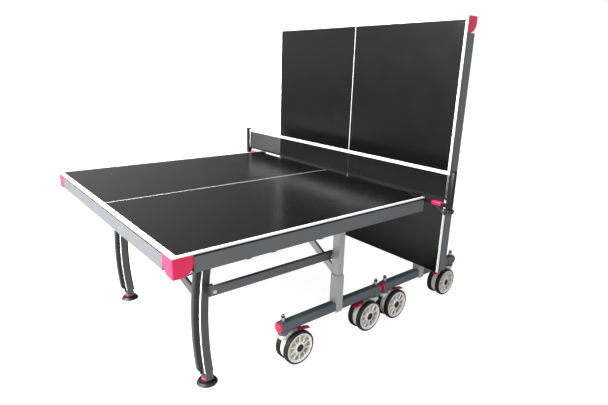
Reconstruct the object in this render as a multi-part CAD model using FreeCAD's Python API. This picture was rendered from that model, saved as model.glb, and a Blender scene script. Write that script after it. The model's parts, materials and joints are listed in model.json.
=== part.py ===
"""Rollaway table-tennis table in its solo-practice position.

Two identical half-tables stand on their own wheeled trolleys.  The play half
lies flat with the net on its inner edge, and the wall half is folded upright
behind the net.  Each half is drawn once, in the half frame, and then placed.

Row frame: X along the table, the play half at -X and the wall half at +X,
Y across it, Z up from the floor.  The origin is on the floor at the middle of
the whole object's box.

Half frame: x = 0 on the fold axis and +x towards the baseline (outer) end,
z = 0 on the floor, with the table top level.
"""

import FreeCAD, Part
import math
import os

Vec = FreeCAD.Vector

# ---------------------------------------------------------------- table top
TOP_HEIGHT = 760.0          # playing surface above the floor
HALF_LENGTH = 1370.0        # half of the regulation 2740 mm length
HALF_WIDTH = 762.5          # half of the regulation 1525 mm width
PANEL_THICKNESS = 5.0       # outdoor laminate sheet
EDGE_DEPTH = 6.5            # height of the white edge band
EDGE_LIP = 2.0              # band outside the panel's edge
EDGE_SEAT = 20.0            # width of the band's seat under the panel
SHADOW_GAP = 9.0            # dark gap between band and apron
APRON_BOTTOM = 684.0
APRON_THICKNESS = 19.0
APRON_INSET = 1.0
CAP_BOTTOM = 676.0          # corner caps hang a little below the apron
CAP_ALONG_SIDE = 80.0
CAP_ALONG_END = 86.0
CAP_CORNER_RADIUS = 50.0
SHEET_WALL = 2.0            # wall of the welded tubes

# ---------------------------------------------------------------- fold axis
AXIS_FROM_NET = 440.0       # fold axis back from the net edge
AXIS_Z = 719.0
OUTER_X = HALF_LENGTH - AXIS_FROM_NET
PIN_RADIUS = 8.0
SMALL_PIN_RADIUS = 6.0
RUNNING_CLEARANCE = 0.06
OPEN_PIVOT_CLEARANCE = 0.30  # the leg end of the link bar closes the loop

# ------------------------------------------------------------- under frame
RIB_DEPTH = 12.0
RIB_WIDTH = 30.0
LEG_RIB_OFFSET = 55.0        # leg rib outward of the leg pivot
RIB_STATIONS = (-375.0, -200.0, 250.0, 480.0)
LONG_RIB_INNER = 636.0
LONG_RIB_WIDTH = 25.0
LONG_RIB_DEPTH = 20.0
HINGE_PLATE_THICKNESS = 6.0
EAR_THICKNESS = 5.0

# ------------------------------------------------------------------ trolley
TRACK = 600.0               # beam, post and castor centre from the middle
TROLLEY_SHIFT = 17.0        # trolley centre outward of the fold axis
BEAM_LENGTH = 684.0
BEAM_SIZE = 50.0
BEAM_BOTTOM = 187.0
BEAM_CORNER_RADIUS = 14.0
BEAM_CAP_LENGTH = 8.0
POST_X = 36.0
POST_INNER = 578.0
POST_OUTER = 625.0
POST_TOP = 739.0
SADDLE_TOP = 387.0
SADDLE_WALL = 4.0
SADDLE_BOLT_HEIGHTS = (283.0, 368.0)
BRACE_SLOPE = math.radians(29.6)
BRACE_DEPTH = 38.0
BRACE_THICKNESS = 14.0
BRACE_START_Z = 413.0
BRACE_END_Y = 70.0
CROSS_TUBE_X = (-29.0, -7.0)

# --------------------------------------------------------------------- legs
LEG_Y = 490.0
LEG_PIVOT_X = 655.0         # outward of the fold axis, at the axis height
LEG_BOW_RADIUS = 1790.0
LEG_BOW_X = 706.0           # centre line's furthest point outward
LEG_BOW_Z = 300.0
LEG_TUBE_OUTWARD = 11.5     # tube faces measured from the centre line
LEG_TUBE_INWARD = 23.5
LEG_TUBE_Y = 12.0
LEG_CORE_INWARD = 38.0        # core faces measured from the centre line
LEG_CORE_OUTWARD = 33.5
LEG_CORE_Y = 47.0
LEG_CORE_TOP = 640.0
LEG_CORE_BOTTOM = 55.0
LEG_CORE_SLANT = 25.0       # the outward edge starts this much higher
LEG_TUBE_BOTTOM = 28.0
STRETCHER_X = (698.0, 712.0)
STRETCHER_START_Z = 437.0
STRETCHER_SLOPE = math.radians(14.5)
STRETCHER_DEPTH = 40.0
FOOT_RADIUS = 48.0
FOOT_HEIGHT = 13.0
LOCK_RING_RADIUS = 30.0
LOCK_RING_TOP = 20.0
FOOT_X = 679.0

# ---------------------------------------------------------------- link bars
LINK_OFFSET_X = 16.0        # both link pins sit this far out from their pivots
LINK_DROP = 240.0           # and this far below them
LINK_Y = 556.0
LINK_DEPTH = 42.0
LINK_THICKNESS = 19.4

# ------------------------------------------------------------------ castors
STEM_FROM_CENTRE = 320.0
CASTOR_TRAIL = 75.0
WHEEL_RADIUS = 86.0
WHEEL_WIDTH = 28.0
WHEEL_OUTER_FACE = 44.0     # from the castor's own middle plane
TYRE_DEPTH = 14.0
HOOD_RADIUS = 77.0
HOOD_WIDTH = 28.0
STEM_TOP = 272.0
PEDAL_WIDTH = 22.0

# ---------------------------------------------------------------------- net
NET_HEIGHT = 152.5
NET_OFFSET = 12.0           # net plane beyond the net edge
NET_POST_Y = 902.5
NET_POST_SIZE = 25.0
NET_POST_TOP = 918.0
NET_LID = 4.0                 # thickness of the post's lid
NET_TAPE = 15.5
NET_BOTTOM = 768.0
NET_ARM_Z = (733.0, 749.0)

# ---------------------------------------------------------------- placement
WALL_AXIS_FROM_NET = 241.0  # wall half's fold axis behind the net edge
NET_EDGE_X = (HALF_LENGTH - WALL_AXIS_FROM_NET - TROLLEY_SHIFT
              - BEAM_LENGTH / 2 - BEAM_CAP_LENGTH) / 2
PLAY_AXIS_X = NET_EDGE_X - AXIS_FROM_NET
WALL_AXIS_X = NET_EDGE_X + WALL_AXIS_FROM_NET

X_DIR, Y_DIR, Z_DIR = Vec(1, 0, 0), Vec(0, 1, 0), Vec(0, 0, 1)


# ------------------------------------------------------------------ helpers
def block(x, y, z):
    """Box between two limits on each axis."""
    return Part.makeBox(x[1] - x[0], y[1] - y[0], z[1] - z[0], Vec(x[0], y[0], z[0]))


def rod(radius, start, end):
    """Round bar between two points."""
    start, end = Vec(*start), Vec(*end)
    return Part.makeCylinder(radius, (end - start).Length, start, end - start)


def rod_y(radius, x, z, y):
    """Round bar along Y between two limits."""
    return rod(radius, (x, y[0], z), (x, y[1], z))


def mirrored(shapes):
    """The shapes and their reflections on the other side of the table."""
    return shapes + [s.mirror(Vec(0, 0, 0), Y_DIR) for s in shapes]


def tube_along(axis, x, y, z, wall=SHEET_WALL):
    """Rectangular tube, open at both ends along the given axis."""
    inner = {"x": (x, (y[0] + wall, y[1] - wall), (z[0] + wall, z[1] - wall)),
             "y": ((x[0] + wall, x[1] - wall), y, (z[0] + wall, z[1] - wall)),
             "z": ((x[0] + wall, x[1] - wall), (y[0] + wall, y[1] - wall), z)}[axis]
    return block(x, y, z).cut(block(*inner))


def outline_x(points, x):
    """Prism with a YZ outline between two x limits."""
    corners = [Vec(x[0], y, z) for y, z in points]
    face = Part.Face(Part.makePolygon(corners + corners[:1]))
    return face.extrude(Vec(x[1] - x[0], 0, 0))


def outline_y(points, y):
    """Prism with an XZ outline between two y limits."""
    corners = [Vec(x, y[0], z) for x, z in points]
    face = Part.Face(Part.makePolygon(corners + corners[:1]))
    return face.extrude(Vec(0, y[1] - y[0], 0))


def span(centre, half):
    """Limits on both sides of a centre."""
    return centre - half, centre + half


# ---------------------------------------------------------------- table top
def top_panel():
    """Laminate playing surface of one half."""
    return [block((-AXIS_FROM_NET, OUTER_X - EDGE_LIP), span(0, HALF_WIDTH - EDGE_LIP),
                  (TOP_HEIGHT - PANEL_THICKNESS, TOP_HEIGHT))]


def edge_band():
    """White band round three edges, with a seat under the panel."""
    band = block((-AXIS_FROM_NET, OUTER_X), span(0, HALF_WIDTH), (TOP_HEIGHT - EDGE_DEPTH, TOP_HEIGHT))
    hollow = block((-AXIS_FROM_NET, OUTER_X - EDGE_SEAT), span(0, HALF_WIDTH - EDGE_SEAT),
                   (TOP_HEIGHT - EDGE_DEPTH, TOP_HEIGHT))
    return [band.cut(hollow).cut(top_panel()[0])]


def aprons():
    """Side and baseline aprons, as three welded tubes."""
    z = (APRON_BOTTOM, TOP_HEIGHT - EDGE_DEPTH - SHADOW_GAP)
    side_y = (HALF_WIDTH - APRON_INSET - APRON_THICKNESS, HALF_WIDTH - APRON_INSET)
    side = tube_along("x", (-AXIS_FROM_NET, OUTER_X - CAP_ALONG_SIDE), side_y, z)
    end_x = (OUTER_X - APRON_INSET - APRON_THICKNESS, OUTER_X - APRON_INSET)
    end = tube_along("y", end_x, span(0, HALF_WIDTH - CAP_ALONG_END), z)
    return mirrored([side]) + [end]


def cap_profile(length, reach):
    """Corner cap outline: square at the corner, rounded at the lower far end."""
    top = TOP_HEIGHT - EDGE_DEPTH - 0.5
    radius = CAP_CORNER_RADIUS
    centre = (reach - length + radius, CAP_BOTTOM + radius)
    arc = [(centre[0] - radius * math.cos(math.radians(a)), centre[1] - radius * math.sin(math.radians(a)))
           for a in range(0, 91, 10)]
    return [(reach, top), (reach - length, top)] + arc + [(reach, CAP_BOTTOM)]


def corner_caps():
    """Moulded caps on the two baseline corners."""
    y_in = HALF_WIDTH - APRON_INSET - APRON_THICKNESS
    x_in = OUTER_X - APRON_INSET - APRON_THICKNESS
    side = outline_y(cap_profile(CAP_ALONG_SIDE, OUTER_X), (y_in, HALF_WIDTH))
    end = outline_x(cap_profile(CAP_ALONG_END, HALF_WIDTH), (x_in, OUTER_X))
    return mirrored([side.fuse(end).removeSplitter()])


def under_frame():
    """Steel ribs under the panel, the dark spacer strips and the pivot brackets."""
    under = TOP_HEIGHT - PANEL_THICKNESS
    rib_z = (under - RIB_DEPTH, under)
    inner_y = LONG_RIB_INNER - 0.5
    parts = [tube_along("y", span(station, RIB_WIDTH / 2), span(0, inner_y), rib_z)
             for station in RIB_STATIONS + (LEG_PIVOT_X + LEG_RIB_OFFSET,)]
    long_x = (-AXIS_FROM_NET + 2, OUTER_X - EDGE_SEAT - 6)
    parts += mirrored([tube_along("x", long_x, (LONG_RIB_INNER, LONG_RIB_INNER + LONG_RIB_WIDTH),
                                  (under - LONG_RIB_DEPTH, under))])
    return parts + spacer_strips() + mirrored([hinge_plate()] + leg_ears())


def spacer_strips():
    """Recessed dark strips that close the gap between band and aprons."""
    z = (TOP_HEIGHT - EDGE_DEPTH - SHADOW_GAP, TOP_HEIGHT - EDGE_DEPTH)
    outer = block((-AXIS_FROM_NET, OUTER_X - 4), span(0, HALF_WIDTH - 4), z)
    inner = block((-AXIS_FROM_NET, OUTER_X - EDGE_SEAT), span(0, HALF_WIDTH - EDGE_SEAT), z)
    corners = [block((OUTER_X - CAP_ALONG_END, OUTER_X), y, z)
               for y in ((HALF_WIDTH - CAP_ALONG_END, HALF_WIDTH), (-HALF_WIDTH, CAP_ALONG_END - HALF_WIDTH))]
    ring = outer.cut(inner)
    for corner in corners:
        ring = ring.cut(corner)
    return ring.Solids


def hinge_plate():
    """Plate on the long rib that turns on the trolley's pivot pin."""
    y = (LONG_RIB_INNER - HINGE_PLATE_THICKNESS, LONG_RIB_INNER)
    plate = block((-24, 24), y, (AXIS_Z, TOP_HEIGHT - PANEL_THICKNESS)).fuse(rod_y(24, 0, AXIS_Z, y))
    return plate.removeSplitter().cut(rod_y(PIN_RADIUS + RUNNING_CLEARANCE, 0, AXIS_Z, y))


def leg_ears():
    """Pair of ears under the leg rib that hold one leg's pivot pin."""
    half_leg = LEG_CORE_Y / 2 + LEG_TUBE_Y
    ears = []
    for y0 in (LEG_Y - half_leg - 3.5 - EAR_THICKNESS, LEG_Y + half_leg + 3.5):
        y = (y0, y0 + EAR_THICKNESS)
        points = [(LEG_PIVOT_X + 70, TOP_HEIGHT - PANEL_THICKNESS - RIB_DEPTH),
                  (LEG_PIVOT_X + 30, TOP_HEIGHT - PANEL_THICKNESS - RIB_DEPTH),
                  (LEG_PIVOT_X, AXIS_Z + 16), (LEG_PIVOT_X, AXIS_Z - 16), (LEG_PIVOT_X + 70, AXIS_Z + 4)]
        ear = outline_y(points, y).fuse(rod_y(16, LEG_PIVOT_X, AXIS_Z, y)).removeSplitter()
        ears.append(ear.cut(rod_y(SMALL_PIN_RADIUS + RUNNING_CLEARANCE, LEG_PIVOT_X, AXIS_Z, y)))
    return ears


# ------------------------------------------------------------------ trolley
def stem_stations():
    """Castor stem positions along the trolley, outer one first."""
    return TROLLEY_SHIFT + STEM_FROM_CENTRE, TROLLEY_SHIFT - STEM_FROM_CENTRE


def rounded_beam(x, size, bottom, radius):
    """Bar along X with a rounded square section."""
    bar = block(x, span(TRACK, size / 2), (bottom, bottom + size))
    edges = [e for e in bar.Edges if abs(e.tangentAt(e.FirstParameter).x) > 0.9]
    return bar.makeFillet(radius, edges)


def trolley_beams():
    """The two floor beams that carry the castors."""
    x = span(TROLLEY_SHIFT, BEAM_LENGTH / 2)
    wall = 2.5
    beam = rounded_beam(x, BEAM_SIZE, BEAM_BOTTOM, BEAM_CORNER_RADIUS)
    beam = beam.cut(rounded_beam(x, BEAM_SIZE - 2 * wall, BEAM_BOTTOM + wall, BEAM_CORNER_RADIUS - wall))
    for station in stem_stations():
        beam = beam.cut(rod(PIN_RADIUS + RUNNING_CLEARANCE, (station, TRACK, BEAM_BOTTOM - 1),
                            (station, TRACK, BEAM_BOTTOM + BEAM_SIZE + 1)))
    return mirrored([beam])


def beam_caps():
    """Domed plugs in the beams' ends."""
    caps = []
    for end, way in ((TROLLEY_SHIFT - BEAM_LENGTH / 2, -1), (TROLLEY_SHIFT + BEAM_LENGTH / 2, 1)):
        x = sorted((end, end + way * BEAM_CAP_LENGTH))
        cap = rounded_beam(x, BEAM_SIZE, BEAM_BOTTOM, 20)
        face = max(cap.Faces, key=lambda f: way * f.CenterOfMass.x)
        caps.append(cap.makeFillet(4.5, face.Edges))
    return mirrored(caps)


def post():
    """Upright tube with the bore for the main pivot pin."""
    tube = tube_along("z", span(0, POST_X / 2), (POST_INNER, POST_OUTER), (BEAM_BOTTOM + BEAM_SIZE, POST_TOP), 2.5)
    tube = tube.cut(rod_y(PIN_RADIUS, 0, AXIS_Z, (POST_INNER - 1, POST_OUTER + 1)))
    return tube.cut(rod_y(SMALL_PIN_RADIUS, LINK_OFFSET_X, AXIS_Z - LINK_DROP, (POST_INNER - 1, POST_INNER + 3)))


def saddle():
    """U-shaped bracket that holds the post's foot and covers the beam's side."""
    x = span(0, POST_X / 2 + SADDLE_WALL)
    shell = block(x, (POST_INNER, POST_OUTER + SADDLE_WALL), (BEAM_BOTTOM + BEAM_SIZE, SADDLE_TOP))
    shell = shell.cut(block(span(0, POST_X / 2), (POST_INNER, POST_OUTER), (BEAM_BOTTOM, SADDLE_TOP)))
    skirt = block(x, (POST_OUTER, POST_OUTER + SADDLE_WALL), (BEAM_BOTTOM, BEAM_BOTTOM + BEAM_SIZE))
    return shell.fuse(skirt).removeSplitter()


def knee_brace():
    """Diagonal from the post up to the middle of the cross tube."""
    half = BRACE_DEPTH / 2 / math.cos(BRACE_SLOPE)
    rise = (POST_INNER - BRACE_END_Y) * math.tan(BRACE_SLOPE)
    points = [(POST_INNER, BRACE_START_Z - half), (POST_INNER, BRACE_START_Z + half),
              (BRACE_END_Y, BRACE_START_Z + rise + half), (BRACE_END_Y, BRACE_START_Z + rise - half)]
    return outline_x(points, (POST_X / 2 - BRACE_THICKNESS, POST_X / 2))


def trolley_frame():
    """Posts, saddles, knee braces, cross tube and its gusset."""
    cross = tube_along("y", CROSS_TUBE_X, span(0, POST_INNER), span(AXIS_Z, 14))
    gusset = block((CROSS_TUBE_X[1], POST_X / 2 - BRACE_THICKNESS), span(0, 110), (AXIS_Z - 29, AXIS_Z + 11))
    return mirrored([post(), saddle(), knee_brace()]) + [cross, gusset]


def trolley_pins():
    """Main pivot pins, link pins and the saddles' bolts."""
    main = rod_y(PIN_RADIUS, 0, AXIS_Z, (POST_INNER, LONG_RIB_INNER + 1))
    main = main.fuse(rod_y(13, 0, AXIS_Z, (LONG_RIB_INNER + 1, LONG_RIB_INNER + 9)))
    link_z = AXIS_Z - LINK_DROP
    bar = span(LINK_Y, LINK_THICKNESS / 2)
    link = rod_y(SMALL_PIN_RADIUS, LINK_OFFSET_X, link_z, (bar[0] - 0.5, POST_INNER + 2.5))
    link = link.fuse(rod_y(10, LINK_OFFSET_X, link_z, (bar[0] - 6, bar[0] - 0.5)))
    link = link.fuse(rod_y(10, LINK_OFFSET_X, link_z, (bar[1] + 0.5, POST_INNER)))
    bolts = [rod(7, (-POST_X / 2 - SADDLE_WALL, TRACK, z), (-POST_X / 2 - SADDLE_WALL - 6, TRACK, z))
             for z in SADDLE_BOLT_HEIGHTS]
    return mirrored([main, link] + bolts)


# --------------------------------------------------------------------- legs
def bow_x(z, offset=0.0):
    """x of a line parallel to the leg's bowed centre line."""
    return LEG_BOW_X - LEG_BOW_RADIUS + math.sqrt((LEG_BOW_RADIUS + offset) ** 2 - (z - LEG_BOW_Z) ** 2)


def bowed_bar(offsets, z, y, slant=0.0):
    """Bar between two arcs parallel to the leg's centre line."""
    (inner, outer), (low, high) = offsets, z

    def edge(offset, start, end):
        points = [Vec(bow_x(h, offset), y[0], h) for h in (start, (start + end) / 2, end)]
        return Part.Arc(*points).toShape()

    outward = edge(outer, low + slant, high)
    inward = edge(inner, high, low)
    wires = [outward, Part.makeLine(outward.Vertexes[-1].Point, inward.Vertexes[0].Point),
             inward, Part.makeLine(inward.Vertexes[-1].Point, outward.Vertexes[0].Point)]
    return Part.Face(Part.Wire(Part.__sortEdges__(wires))).extrude(Vec(0, y[1] - y[0], 0))


def leg_tube(y):
    """One of a leg's two flanking tubes, with its rounded pivot end."""
    offsets = (-LEG_TUBE_INWARD, LEG_TUBE_OUTWARD)
    half = (LEG_TUBE_INWARD + LEG_TUBE_OUTWARD) / 2
    z = (LEG_TUBE_BOTTOM, AXIS_Z)
    tube = bowed_bar(offsets, z, y)
    hollow = bowed_bar((offsets[0] + SHEET_WALL, offsets[1] - SHEET_WALL), (z[0] + 6, z[1] - 40),
                       (y[0] + SHEET_WALL, y[1] - SHEET_WALL))
    head = rod_y(half, bow_x(AXIS_Z) + (LEG_TUBE_OUTWARD - LEG_TUBE_INWARD) / 2, AXIS_Z, y)
    tube = tube.cut(hollow).fuse(head).removeSplitter()
    return tube.cut(rod_y(SMALL_PIN_RADIUS, LEG_PIVOT_X, AXIS_Z, y))


def leg_tubes():
    """Both legs' tubes, sole plates, link tabs and the stretcher between them."""
    core, outer = LEG_CORE_Y / 2, LEG_CORE_Y / 2 + LEG_TUBE_Y
    tubes = [leg_tube((LEG_Y - outer, LEG_Y - core)), leg_tube((LEG_Y + core, LEG_Y + outer))]
    plate = block((bow_x(40, -LEG_TUBE_INWARD), bow_x(40, LEG_TUBE_OUTWARD)), span(LEG_Y, core),
                  (LEG_TUBE_BOTTOM, LEG_TUBE_BOTTOM + 8))
    plate = plate.cut(rod(SMALL_PIN_RADIUS + RUNNING_CLEARANCE, (FOOT_X, LEG_Y, 0), (FOOT_X, LEG_Y, 60)))
    pin = (LEG_PIVOT_X + LINK_OFFSET_X, AXIS_Z - LINK_DROP)
    tab_y = (LEG_Y + outer, LEG_Y + outer + 6)
    tab = block((pin[0] - 12, pin[0] + 36), tab_y, span(pin[1], 18)).fuse(rod_y(18, pin[0], pin[1], tab_y))
    tab = tab.removeSplitter().cut(rod_y(SMALL_PIN_RADIUS, pin[0], pin[1], tab_y))
    return mirrored(tubes + [plate, tab, stretcher_arm(LEG_Y - outer)])


def stretcher_arm(start_y):
    """One arm of the shallow inverted V between the legs."""
    half = STRETCHER_DEPTH / 2 / math.cos(STRETCHER_SLOPE)
    rise = start_y * math.tan(STRETCHER_SLOPE)
    points = [(start_y, STRETCHER_START_Z - half), (start_y, STRETCHER_START_Z + half),
              (0, STRETCHER_START_Z + rise + half), (0, STRETCHER_START_Z + rise - half)]
    return outline_x(points, STRETCHER_X)


def leg_covers():
    """Dark moulded core between each leg's tubes, cut on the slant at its foot."""
    z = (LEG_CORE_BOTTOM, LEG_CORE_TOP)
    x = (-LEG_CORE_INWARD, LEG_CORE_OUTWARD)
    return mirrored([bowed_bar(x, z, span(LEG_Y, LEG_CORE_Y / 2), LEG_CORE_SLANT)])


def leg_pins():
    """Leg pivot pins and the pins that the link bars turn on."""
    outer = LEG_CORE_Y / 2 + LEG_TUBE_Y
    reach = outer + 3.5 + EAR_THICKNESS + 0.5
    pivot = rod_y(SMALL_PIN_RADIUS, LEG_PIVOT_X, AXIS_Z, span(LEG_Y, reach))
    for y in ((LEG_Y - reach - 5, LEG_Y - reach), (LEG_Y + reach, LEG_Y + reach + 5)):
        pivot = pivot.fuse(rod_y(9, LEG_PIVOT_X, AXIS_Z, y))
    x, z = LEG_PIVOT_X + LINK_OFFSET_X, AXIS_Z - LINK_DROP
    bar = span(LINK_Y, LINK_THICKNESS / 2)
    link = rod_y(SMALL_PIN_RADIUS, x, z, (LEG_Y + outer, bar[1] + 0.5))
    link = link.fuse(rod_y(9, x, z, (bar[1] + 0.5, bar[1] + 6)))
    link = link.fuse(rod_y(9, x, z, (LEG_Y + outer + 6, bar[0] - 0.5)))
    return mirrored([pivot, link])


def foot(side):
    """Levelling foot: a round pad, its stem and its lock ring."""
    base = (FOOT_X, side * LEG_Y, 0)
    pad = Part.makeCone(FOOT_RADIUS, FOOT_RADIUS - 9, FOOT_HEIGHT, Vec(*base))
    stem = rod(SMALL_PIN_RADIUS, (base[0], base[1], FOOT_HEIGHT), (base[0], base[1], 50))
    ring = rod(LOCK_RING_RADIUS, (base[0], base[1], FOOT_HEIGHT), (base[0], base[1], LOCK_RING_TOP))
    return [pad.fuse(stem).fuse(ring).removeSplitter()]


def link_bars():
    """Bars that keep the legs upright while the top folds."""
    x, z = (LINK_OFFSET_X, LEG_PIVOT_X + LINK_OFFSET_X), AXIS_Z - LINK_DROP
    y = span(LINK_Y, LINK_THICKNESS / 2)
    half = LINK_DEPTH / 2
    bar = block(x, y, span(z, half)).fuse(rod_y(half, x[0], z, y)).fuse(rod_y(half, x[1], z, y))
    bar = bar.removeSplitter().cut(block((x[0] + 30, x[1] - 30), span(LINK_Y, LINK_THICKNESS / 2 - SHEET_WALL),
                                         span(z, half - SHEET_WALL)))
    bar = bar.cut(rod_y(SMALL_PIN_RADIUS + RUNNING_CLEARANCE, x[0], z, y))
    return mirrored([bar.cut(rod_y(SMALL_PIN_RADIUS + OPEN_PIVOT_CLEARANCE, x[1], z, y))])


# ------------------------------------------------------------------ castors
def castor_frame(stem_x, side, way):
    """Hood, arm, collar, stem and axle; the wheels trail towards the middle."""
    centre_y, hub = side * TRACK, stem_x + way * CASTOR_TRAIL
    z = WHEEL_RADIUS
    y = span(centre_y, HOOD_WIDTH / 2)
    inner_y = span(centre_y, HOOD_WIDTH / 2 - 3)
    hood = rod_y(HOOD_RADIUS, hub, z, y).cut(rod_y(HOOD_RADIUS - 3, hub, z, inner_y))
    hood = hood.cut(block(span(hub, 60), inner_y, (0, 30)))
    arm = block(sorted((hub + way * -30, stem_x - way * 14)), y, (146, 172))
    arm = arm.cut(rod_y(HOOD_RADIUS - 3, hub, z, inner_y))
    collar = rod(22, (stem_x, centre_y, 158), (stem_x, centre_y, BEAM_BOTTOM - 0.5))
    stem = rod(PIN_RADIUS, (stem_x, centre_y, 180), (stem_x, centre_y, STEM_TOP))
    axle = rod_y(SMALL_PIN_RADIUS, hub, z, span(centre_y, WHEEL_OUTER_FACE - 2))
    body = hood.fuse(arm).fuse(collar).fuse(stem).fuse(axle).removeSplitter()
    lug = rod_y(7, hub + way * 22, z + 74, span(centre_y, PEDAL_WIDTH / 2 + 3))
    return [body.fuse(lug).removeSplitter().cut(pedal_sweep(hub, centre_y, way))]


def pedal_pivot(hub, way):
    """Axis of the brake pedal on top of the hood."""
    return hub + way * 22, WHEEL_RADIUS + 74


def pedal_sweep(hub, centre_y, way):
    """Room that the pedal's hub takes in the hood."""
    x, z = pedal_pivot(hub, way)
    y = span(centre_y, PEDAL_WIDTH / 2 + 0.5)
    return rod_y(9.5, x, z, y).cut(rod_y(4, x, z, y))


def castor_pedal(stem_x, side, way):
    """Brake pedal that slopes down behind the hood."""
    centre_y, hub = side * TRACK, stem_x + way * CASTOR_TRAIL
    x, z = pedal_pivot(hub, way)
    y = span(centre_y, PEDAL_WIDTH / 2)
    tip = (hub + way * 86, WHEEL_RADIUS + 66)
    plate = outline_y([(x, z + 9), (x, z + 2), (hub + way * 62, WHEEL_RADIUS + 66), (tip[0], tip[1] - 3),
                       (tip[0], tip[1] + 3), (hub + way * 60, WHEEL_RADIUS + 76)], y)
    lever = rod_y(9, x, z, y).fuse(plate).removeSplitter()
    return [lever.cut(rod_y(4 + RUNNING_CLEARANCE, x, z, y))]


def castor_wheels(stem_x, side, way):
    """Twin wheels: tyre ring, web and hub boss, turned as one section."""
    hub = stem_x + way * CASTOR_TRAIL
    wheels = []
    for face in (-1, 1):
        outer = side * TRACK + face * WHEEL_OUTER_FACE
        y = sorted((outer, outer - face * WHEEL_WIDTH))
        wheel = rod_y(WHEEL_RADIUS, hub, WHEEL_RADIUS, y)
        rim = WHEEL_RADIUS - TYRE_DEPTH
        for recess in ((y[0], y[0] + 9), (y[1] - 9, y[1])):
            pocket = rod_y(rim - 3, hub, WHEEL_RADIUS, recess).cut(rod_y(17, hub, WHEEL_RADIUS, recess))
            wheel = wheel.cut(pocket)
        wheels.append(wheel.cut(rod_y(SMALL_PIN_RADIUS + RUNNING_CLEARANCE, hub, WHEEL_RADIUS, y)))
    return wheels


# ---------------------------------------------------------------------- net
def net_line():
    """x of the net's plane in the half frame."""
    return -AXIS_FROM_NET - NET_OFFSET


def net_mesh():
    """Net cloth between the posts."""
    top = TOP_HEIGHT + NET_HEIGHT - NET_TAPE
    return [block(span(net_line(), 1.5), span(0, NET_POST_Y - NET_POST_SIZE / 2), (NET_BOTTOM, top))]


def net_tape():
    """White tape along the net's top edge."""
    z = (TOP_HEIGHT + NET_HEIGHT - NET_TAPE, TOP_HEIGHT + NET_HEIGHT)
    return [block(span(net_line(), 2.5), span(0, NET_POST_Y - NET_POST_SIZE / 2), z)]


def net_posts():
    """Net posts, their arms and the clamps on the table's net edge."""
    size = NET_POST_SIZE / 2
    under_lid = NET_POST_TOP - NET_LID
    upright = tube_along("z", span(net_line(), size), span(NET_POST_Y, size), (NET_ARM_Z[0], under_lid))
    lid = block(span(net_line(), size), span(NET_POST_Y, size), (under_lid, NET_POST_TOP))
    y = (HALF_WIDTH - 74, HALF_WIDTH - 26)
    arm = tube_along("y", span(net_line(), 9), (y[0], NET_POST_Y - size), NET_ARM_Z)
    upper = block((net_line() - 9, -AXIS_FROM_NET + 25), y, (TOP_HEIGHT + 0.3, TOP_HEIGHT + 4))
    spine = block((net_line() - 9, net_line() + 9), y, (NET_ARM_Z[1], TOP_HEIGHT + 0.3))
    lower = block((net_line() + 9, -AXIS_FROM_NET + 25), y, (NET_ARM_Z[0], TOP_HEIGHT - PANEL_THICKNESS - 0.3))
    return mirrored([upright, lid, arm, upper, spine, lower] + net_fittings())


def net_fittings():
    """Tension knobs on the post's back and the stay under the arm."""
    back = net_line() - NET_POST_SIZE / 2
    knobs = [rod(6, (back, NET_POST_Y, z), (back - 12, NET_POST_Y, z)) for z in (756, 814)]
    stay = rod(3, (net_line(), 826, NET_ARM_Z[0] - 7), (net_line(), 876, 700))
    ball = Part.makeSphere(7, Vec(net_line(), 880, 697))
    return knobs + [stay.fuse(ball)]


def net_levers():
    """Coloured lever grips on the arms."""
    shell = block(span(net_line(), 13), (800, 858), (NET_ARM_Z[0] - 3, NET_ARM_Z[1] + 6))
    return mirrored([shell.cut(block(span(net_line(), 9), (790, 870), NET_ARM_Z))])


def net_knob(side):
    """Height screw under one post."""
    y = side * NET_POST_Y
    grip = rod(25, (net_line(), y, 706), (net_line(), y, 727))
    return [grip.fuse(rod(4, (net_line(), y, 727), (net_line(), y, NET_ARM_Z[0] - 0.3))).removeSplitter()]


# ---------------------------------------------------------------- placement
def place_play(shapes):
    """Half frame to row frame for the level half."""
    placed = []
    for shape in shapes:
        shape = shape.mirror(Vec(0, 0, 0), X_DIR)
        shape.translate(Vec(PLAY_AXIS_X, 0, 0))
        placed.append(shape)
    return placed


def turned(shapes, x, z):
    """Shapes turned upright about an axis along Y."""
    copies = [s.copy() for s in shapes]
    for shape in copies:
        shape.rotate(Vec(x, 0, z), Y_DIR, -90)
    return copies


def shifted(shapes, x, z):
    """Shapes moved without turning."""
    copies = [s.copy() for s in shapes]
    for shape in copies:
        shape.translate(Vec(x, 0, z))
    return copies


def place_wall(shapes, group):
    """Half frame to row frame for the upright half."""
    if group == "top":
        shapes = turned(shapes, 0, AXIS_Z)
    if group == "leg":
        shapes = shifted(shapes, -LEG_PIVOT_X, LEG_PIVOT_X)
    if group == "link":
        shapes = turned(shapes, LINK_OFFSET_X, AXIS_Z - LINK_DROP)
    return shifted(shapes, WALL_AXIS_X, 0)


def export(name, shapes):
    """Write one node."""
    solids = [solid for shape in shapes for solid in shape.Solids]
    Part.makeCompound(solids).exportStep(f"parts/{name}.step")
    print(f"{name:34s} {len(solids):2d} solids {sum(s.Volume for s in solids) / 1000:9.1f} cm3")


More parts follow.
